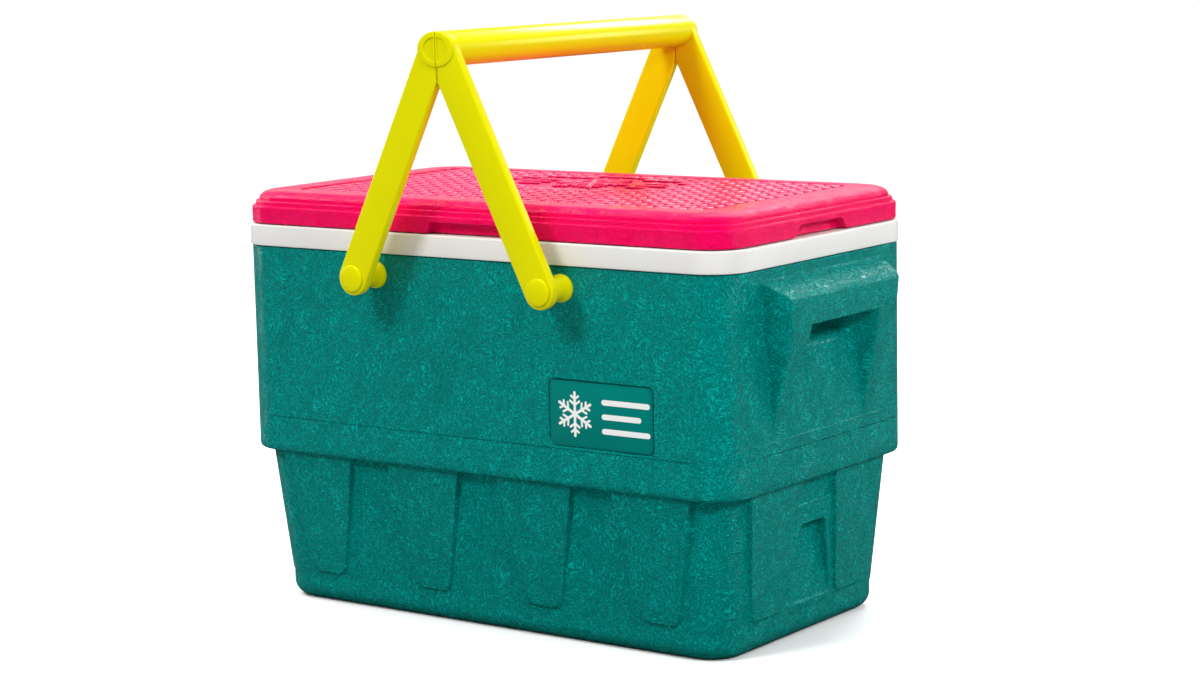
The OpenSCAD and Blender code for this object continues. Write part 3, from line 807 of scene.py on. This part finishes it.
BOSS_BORE_R, PIN_R, PLAY = 5.1, 5.0, 0.3         # play: the gap on either side of the arm
SEAT_WALL, WASHER_T, PIN_END = 4.4, 1.6, 1.6


def pin_profile():
    """A pin from its tip inside the wall to its head: a rounded rim and a low crown."""
    r, y = PIN_R, ARM_Y + PLAY
    tip = SEAT_Y - SEAT_WALL - WASHER_T - PIN_END
    rim = [(HEAD_R - 1.0 + 1.0 * math.sin(t), y + 0.7 + 1.0 * math.cos(t) - 0.25)
           for t in np.radians((90, 65, 40))]
    crown = [((HEAD_R - 1.0) * math.cos(t), y + 1.25 + 1.1 * math.sin(t))
             for t in np.radians((10, 25, 40, 55, 70, 90))]
    crown[-1] = (0.0, crown[-1][1])
    return [(0.0, tip), (r - 0.8, tip), (r, tip + 0.8), (r, y), (HEAD_R, y)] + rim + crown


def boss_profile():
    """A boss from the wall to the arm: a thick foot that draws in to a collar."""
    foot = ((-0.8, 0), (-0.2, 0.3), (0, 1), (0, 3), (-0.25, 3.9), (-0.9, 4.8), (-1.6, 6), (-2.0, 8),
            (-2.2, 12))
    top = ARM_Y - ARM_T - PLAY
    body = [(HEAD_R + out, SEAT_Y + up) for out, up in foot]
    collar = [(HEAD_R - 2.2, top - 0.5), (HEAD_R - 2.6, top)]
    return [(BOSS_BORE_R, SEAT_Y)] + body + collar + [(BOSS_BORE_R, top)]


# ---------------------------------------------------------------- maker's plate

def build_plate():
    """A moulded plate with softened edges, set in its recess."""
    w, h, r = LABEL_W / 2 - 0.9, LABEL_H / 2 - 0.9, 5.1
    back, face = -PLATE_HIGH[1], -PLATE_LOW[1]

    def outline(d):
        pts = []
        for cx, cz, start in ((1, -1, -90), (1, 1, 0), (-1, 1, 90), (-1, -1, 180)):
            for t in np.radians(np.linspace(start, start + 90, 10)):
                pts.append(np.array([LABEL_X + cx * (w - r) + (r - d) * math.cos(t),
                                     LABEL_Z + cz * (h - r) + (r - d) * math.sin(t)]))
        return pts

    levels = [(-back, outline(0)), (-(face - 0.5), outline(0)),
              (-(face - 0.15), outline(0.15)), (-face, outline(0.5))]
    bm = bmesh.new()
    loops = place_along_y(bm, levels)
    wrap(bm, loops)
    bm.faces.new(loops[0])
    bm.faces.new(loops[-1])
    return finish_bmesh(bm, "maker_plate_moulding", 50)


def bar(x, z, length, width, turn):
    """A flat rounded bar as an outline, centred on its start and pointing along turn."""
    pts = []
    r = width / 2
    for cx, start in ((length, -90), (0, 90)):
        for t in np.radians(np.linspace(start, start + 180, 9)):
            pts.append((cx + r * math.cos(t), r * math.sin(t)))
    c, s = math.cos(turn), math.sin(turn)
    return [np.array([x + u * c - v * s, z + u * s + v * c]) for u, v in pts]


def build_print():
    """A plain printed device: a six-armed ice crystal beside three bars."""
    face = PLATE_LOW[1]
    shapes = []
    cx, cz = LABEL_X - 24, LABEL_Z
    for k in range(6):
        turn = math.radians(30 + 60 * k)
        shapes.append(bar(cx, cz, 16.5, 2.2, turn))
        for out, size in ((7, 5.2), (11.5, 4.0)):
            x, z = cx + out * math.cos(turn), cz + out * math.sin(turn)
            shapes += [bar(x, z, size, 1.7, turn + math.radians(a)) for a in (-55, 55)]
    for dz, length in ((11, 40), (0, 32), (-11, 40)):
        shapes.append(bar(LABEL_X + 3, LABEL_Z + dz, length, 4.2, 0))
    bm = bmesh.new()
    for k, pts in enumerate(shapes):
        loops = place_along_y(bm, [(face + 0.1, pts), (face - 0.12 - 0.002 * k, pts)])
        wrap(bm, loops)
        bm.faces.new(loops[0])
        bm.faces.new(loops[-1])
    return finish_bmesh(bm, "plate_print", 30)


# ---------------------------------------------------------------- materials

def rgb(hex_code):
    """An sRGB hex colour as the linear values that a shader takes."""
    channels = [int(hex_code[i:i + 2], 16) / 255 for i in (1, 3, 5)]
    return tuple(c / 12.92 if c <= 0.04045 else ((c + 0.055) / 1.055) ** 2.4 for c in channels) + (1.0,)


def add(tree, kind, links=None, **settings):
    """Adds a node, sets its properties and sockets, and links its inputs."""
    node = tree.nodes.new(kind)
    for key, value in settings.items():
        if hasattr(node, key):
            setattr(node, key, value)
        else:
            node.inputs[key.replace("_", " ")].default_value = value
    for key, source in (links or {}).items():
        tree.links.new(source, node.inputs[key])
    return node


def new_material(name):
    """A material with one Principled shader, and the object coordinates its patterns use."""
    material = bpy.data.materials.new(name)
    material.use_nodes = True
    tree = material.node_tree
    tree.nodes.clear()
    output = add(tree, "ShaderNodeOutputMaterial")
    shader = add(tree, "ShaderNodeBsdfPrincipled")
    tree.links.new(shader.outputs[0], output.inputs["Surface"])
    coords = add(tree, "ShaderNodeTexCoord").outputs["Object"]
    return material, tree, shader, coords


def feed(tree, shader, **sources):
    """Links patterns to the sockets of a shader."""
    for key, source in sources.items():
        tree.links.new(source, shader.inputs[key.replace("_", " ")])


PLASTIC_IOR = 1.5


def leather_grain(name, base, lighter, tint, grain_mm, roughness, height_mm):
    """Moulded polyethylene with a tooled leather grain: fine hair-like creases that wander and glint, with
    painted shade darkening the creases and painted highlight on the grain between them.

    The real grain is too fine to show at this distance, so its pitch is drawn coarser than it is.
    """
    material, tree, shader, coords = new_material(name)
    # a slow bend carries the creases about, so that they never line up
    warp = add(tree, "ShaderNodeTexNoise", {"Vector": coords}, Scale=1 / (26 * MM), Detail=1.5)
    bend = add(tree, "ShaderNodeVectorMath", {0: warp.outputs["Color"]}, operation="SCALE", Scale=30 * MM)
    place = add(tree, "ShaderNodeVectorMath", {0: coords, 1: bend.outputs[0]}, operation="ADD")
    hair = add(tree, "ShaderNodeTexNoise", {"Vector": place.outputs[0]}, Scale=1 / (grain_mm * MM),
               Detail=2.5, Roughness=0.62, Distortion=0.7)
    # the creases are the noise's middle line: low there, rising quickly on both sides
    off = add(tree, "ShaderNodeMath", {0: hair.outputs["Fac"]}, operation="SUBTRACT")
    off.inputs[1].default_value = 0.5
    fold = add(tree, "ShaderNodeMath", {0: off.outputs[0]}, operation="ABSOLUTE")
    crease_and_painted_shade = add(tree, "ShaderNodeMapRange", {"Value": fold.outputs[0]}, From_Max=0.12)
    bump = add(tree, "ShaderNodeBump", {"Height": crease_and_painted_shade.outputs[0]}, Distance=height_mm * MM, Strength=1.0)
    # painted shade and painted highlight: the darker colour runs down the creases and the lighter colour
    # lies on the grain between them
    colour = add(tree, "ShaderNodeMix", {"Factor": crease_and_painted_shade.outputs[0]}, data_type="RGBA",
                 A=rgb(base), B=rgb(lighter))
    rough = add(tree, "ShaderNodeMapRange", {"Value": warp.outputs["Fac"]},
                To_Min=roughness - 0.1, To_Max=roughness + 0.1)
    feed(tree, shader, Normal=bump.outputs[0], Base_Color=colour.outputs["Result"],
         Roughness=rough.outputs[0])
    shader.inputs["IOR"].default_value = PLASTIC_IOR
    shader.inputs["Specular IOR Level"].default_value = 0.32
    shader.inputs["Specular Tint"].default_value = rgb(tint)
    return material


def tread_moulding(name, painted_valley_shade, top, tint, low_mm, high_mm):
    """Glossy moulded tread: clean bright tops, and painted shade that darkens it low down in the valleys;
    its gloss varies with scuffs.
    """
    material, tree, shader, coords = new_material(name)
    height = add(tree, "ShaderNodeSeparateXYZ", {"Vector": coords}).outputs["Z"]
    # painted shade: the colour darkens from the tops down into the valleys by height alone
    level = add(tree, "ShaderNodeMapRange", {"Value": height}, interpolation_type="SMOOTHSTEP",
                From_Min=low_mm * MM, From_Max=high_mm * MM)
    colour = add(tree, "ShaderNodeMix", {"Factor": level.outputs[0]}, data_type="RGBA",
                 A=rgb(painted_valley_shade), B=rgb(top))
    scuff = add(tree, "ShaderNodeTexNoise", {"Vector": coords}, Scale=1 / (1.8 * MM), Detail=3.0)
    rough = add(tree, "ShaderNodeMapRange", {"Value": scuff.outputs["Fac"]}, To_Min=0.16, To_Max=0.36)
    feed(tree, shader, Base_Color=colour.outputs["Result"], Roughness=rough.outputs[0])
    shader.inputs["IOR"].default_value = PLASTIC_IOR
    shader.inputs["Specular Tint"].default_value = rgb(tint)
    return material


def smooth_moulding(name, base, lighter, tint, roughness, ripple_mm):
    """Plain injection-moulded plastic: even, with a faint ripple and slight change of gloss."""
    material, tree, shader, coords = new_material(name)
    ripple = add(tree, "ShaderNodeTexNoise", {"Vector": coords}, Scale=1 / (2.2 * MM), Detail=2.0)
    bump = add(tree, "ShaderNodeBump", {"Height": ripple.outputs["Fac"]}, Distance=ripple_mm * MM,
               Strength=1.0)
    broad = add(tree, "ShaderNodeTexNoise", {"Vector": coords}, Scale=1 / (45 * MM), Detail=4.0)
    colour = add(tree, "ShaderNodeMix", {"Factor": broad.outputs["Fac"]}, data_type="RGBA",
                 A=rgb(base), B=rgb(lighter))
    rough = add(tree, "ShaderNodeMapRange", {"Value": broad.outputs["Fac"]},
                To_Min=roughness - 0.04, To_Max=roughness + 0.04)
    feed(tree, shader, Normal=bump.outputs[0], Base_Color=colour.outputs["Result"],
         Roughness=rough.outputs[0])
    shader.inputs["IOR"].default_value = PLASTIC_IOR
    shader.inputs["Specular IOR Level"].default_value = 0.35
    shader.inputs["Specular Tint"].default_value = rgb(tint)
    return material


# Moulded with a leather grain: a deep body colour with painted shade in the creases, painted highlight on
# the grain between them, and scattered waxy glints.
TEAL = leather_grain("teal_leather_grain_polyethylene", "#00645F", "#00A39A", "#5CF0E2", 1.9, 0.22, 0.36)
# The same grain on the lid's skirt and border, with the same painted shade and painted highlight,
# shallower, so that it reads as a soft sheen.
MAGENTA = leather_grain("magenta_leather_grain_polyethylene", "#EA004C", "#FF0068", "#FF80A6",
                        1.9, 0.22, 0.24)
# The tread's polished tops catch the light, and painted shade keeps its valleys dark between them.
MAGENTA_TREAD = tread_moulding("magenta_tread_polyethylene", "#6E0022", "#FF0E5E", "#FF96B2",
                               DECK_Z - FIELD_D + 0.2, DECK_Z - 0.35)
# The plate comes from a smooth mould: flat and a little greyer than the grain round it.
TEAL_PLATE = smooth_moulding("teal_smooth_polyethylene", "#00746C", "#007A72", "#3CE0D0", 0.34, 0.03)
# Warm white satin, with soft reflections along the rim's edge.
WHITE_RIM = smooth_moulding("white_satin_polypropylene", "#DCDBD8", "#E2E1DE", "#FFFFFF", 0.32, 0.02)
# Printed ink: matt, and brighter than the rim.
WHITE_INK = smooth_moulding("white_printing_ink", "#E9EDEB", "#F0F2F0", "#FFFFFF", 0.5, 0.02)
# Glossy nylon: a clear greenish yellow with clean highlights along the arms.
YELLOW = smooth_moulding("yellow_gloss_nylon", "#D6D200", "#DEDA00", "#FFFF78", 0.26, 0.02)
# Blown foam, out of sight between the walls: cream, matt and slightly rough.
FOAM = smooth_moulding("cream_polyurethane_foam", "#E8DDB0", "#F0E6C0", "#FFFFFF", 0.9, 0.3)


def brushed_zinc():
    """Zinc-plated steel washers: grey metal, dulled by fine turning marks."""
    material, tree, shader, coords = new_material("zinc_plated_steel")
    marks = add(tree, "ShaderNodeTexNoise", {"Vector": coords}, Scale=1 / (0.6 * MM), Detail=3.0)
    rough = add(tree, "ShaderNodeMapRange", {"Value": marks.outputs["Fac"]}, To_Min=0.25, To_Max=0.5)
    feed(tree, shader, Roughness=rough.outputs[0])
    shader.inputs["Base Color"].default_value = rgb("#B9BABD")
    shader.inputs["Metallic"].default_value = 1.0
    return material


ZINC = brushed_zinc()


def dress_node(name, material):
    """Gives a CAD node that stays in view its finished material."""
    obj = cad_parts[name]
    obj.data.materials.clear()
    obj.data.materials.append(material)


# ---------------------------------------------------------------- putting it together

ride(build_shell(), "chest", TEAL, ["outer_shell"])
ride(build_liner(), "chest", WHITE_RIM, ["cavity_liner"])
ride(build_plate(), "chest", TEAL_PLATE, ["maker_plate"])
ride(build_print(), "chest", WHITE_INK)
ride(build_lid(), "lid", MAGENTA, ["lid_shell"])
ride(build_deck_tread(), "lid", MAGENTA_TREAD)
ride(build_crest(), "lid", MAGENTA_TREAD)
ride(build_bail("left_bail_moulding", -1), "left_handle", YELLOW, ["left_bail"])
ride(build_bail("right_bail_moulding", 1), "right_handle", YELLOW, ["right_bail"])
for depth_name, depth_side in (("front", -1), ("back", 1)):
    for width_name, width_side in (("left", -1), ("right", 1)):
        where = f"{depth_name}_{width_name}"
        for kind, profile in (("pin", pin_profile()), ("boss", boss_profile())):
            piece = turned(f"{kind}_{where}_moulding", profile, width_side * PIVOT_X, PIVOT_Z, depth_side)
            ride(piece, "chest", YELLOW, [f"{kind}_{where}"])
        dress_node(f"washer_{where}", ZINC)
dress_node("insulation_foam", FOAM)
dress_node("lid_foam", FOAM)
dress_node("lid_liner", WHITE_RIM)


# ---------------------------------------------------------------- studio

def build_floor():
    """White paper. It's darker in reflections and bounces than to the camera, so the walls stay deep."""
    seen, bounced, mirrored = rgb("#FBFBFB"), rgb("#9C9C9C"), rgb("#383838")
    material, tree, shader, _ = new_material("white_paper_sweep")
    path = add(tree, "ShaderNodeLightPath")
    unseen = add(tree, "ShaderNodeMix", {"Factor": path.outputs["Is Glossy Ray"]}, data_type="RGBA",
                 A=bounced, B=mirrored)
    colour = add(tree, "ShaderNodeMix", {"Factor": path.outputs["Is Camera Ray"],
                                         "A": unseen.outputs["Result"]}, data_type="RGBA", B=seen)
    feed(tree, shader, Base_Color=colour.outputs["Result"])
    shader.inputs["Roughness"].default_value = 0.9
    shader.inputs["Specular IOR Level"].default_value = 0.1
    size = 30000
    corners = [(x * size, y * size, 0) for x, y in ((-1, -1), (1, -1), (1, 1), (-1, 1))]
    floor = mesh_object("floor", corners, [(0, 1, 2, 3)])
    floor.data.materials.append(material)


def soft_light(name, place, target, size, power, glossy=True):
    """A rectangular light in metres and watts, aimed at target and hidden from the camera."""
    lamp = bpy.data.lights.new(name, "AREA")
    lamp.shape = "RECTANGLE"
    lamp.size, lamp.size_y = size
    lamp.energy = power
    obj = bpy.data.objects.new(name, lamp)
    obj.location = place
    obj.rotation_euler = (Vector(target) - Vector(place)).to_track_quat("-Z", "Y").to_euler()
    obj.visible_glossy = glossy
    obj.visible_camera = False
    bpy.context.scene.collection.objects.link(obj)


def build_camera():
    """Three-quarter view from the front right, a little above the rim."""
    azimuth, elevation, roll = math.radians(35.99), math.radians(8.49), math.radians(-1.22)
    distance = 2257.99
    look = Vector((14.12, 18.07, 215.05))
    level = math.cos(elevation)
    back = Vector((math.sin(azimuth) * level, -math.cos(azimuth) * level, math.sin(elevation)))
    right = Vector((math.cos(azimuth), math.sin(azimuth), 0))
    up = back.cross(right)
    right, up = (math.cos(roll) * right + math.sin(roll) * up,
                 -math.sin(roll) * right + math.cos(roll) * up)
    data = bpy.data.cameras.new("camera")
    data.sensor_width = 36
    data.lens = 83.19
    data.shift_x = 0.001
    data.clip_end = 100
    camera = bpy.data.objects.new("camera", data)
    place = (look + back * distance) * MM
    camera.matrix_world = Matrix((
        (right.x, up.x, back.x, place.x), (right.y, up.y, back.y, place.y),
        (right.z, up.z, back.z, place.z), (0, 0, 0, 1)))
    bpy.context.scene.collection.objects.link(camera)
    bpy.context.scene.camera = camera


def build_world():
    """A pale studio: soft fill for the chest, with a white backdrop seen behind it."""
    world = bpy.data.worlds.new("studio")
    world.use_nodes = True
    tree = world.node_tree
    background = tree.nodes["Background"]
    path = add(tree, "ShaderNodeLightPath")
    fill, gloss, backdrop = 0.34, 0.2, 1.02     # strength for bounces, reflections and the camera
    shine = add(tree, "ShaderNodeMath", {0: path.outputs["Is Glossy Ray"]}, operation="MULTIPLY_ADD")
    shine.inputs[1].default_value = gloss - fill
    shine.inputs[2].default_value = fill
    level = add(tree, "ShaderNodeMath", {0: path.outputs["Is Camera Ray"], 2: shine.outputs[0]},
                operation="MULTIPLY_ADD")
    level.inputs[1].default_value = backdrop - fill
    tree.links.new(level.outputs[0], background.inputs["Strength"])
    background.inputs["Color"].default_value = (1, 1, 1, 1)
    bpy.context.scene.world = world


def overhead_light():
    """A broad overhead source, slightly behind the chest, that keeps the paper floor white."""
    lamp = bpy.data.lights.new("overhead", "SUN")
    lamp.energy = 2.65
    lamp.angle = math.radians(70)
    obj = bpy.data.objects.new("overhead", lamp)
    obj.rotation_euler = Vector((0.35, -0.25, -1)).to_track_quat("-Z", "Y").to_euler()
    obj.visible_glossy = False
    bpy.context.scene.collection.objects.link(obj)


build_floor()
build_camera()
build_world()
overhead_light()
soft_light("key", (-0.6, -2.1, 2.3), (0, 0, 0.2), (0.8, 0.8), 52)
soft_light("back", (-0.45, 2.3, 1.9), (0, 0, 0.3), (1.0, 0.7), 30)
soft_light("low_back", (-1.8, 2.45, 0.8), (0, 0, 0.34), (2.2, 0.5), 3.5)
soft_light("right_strip", (1.3, 1.75, 0.9), (0.1, 0, 0.2), (0.9, 0.8), 14)
soft_light("right_fill", (2.2, -0.5, 1.6), (0.2, 0, 0.2), (0.5, 0.5), 36, glossy=False)
soft_light("left_strip", (-2.0, 0.2, 0.9), (-0.2, -0.1, 0.2), (0.3, 1.0), 12)
bpy.context.scene.view_settings.view_transform = "Standard"
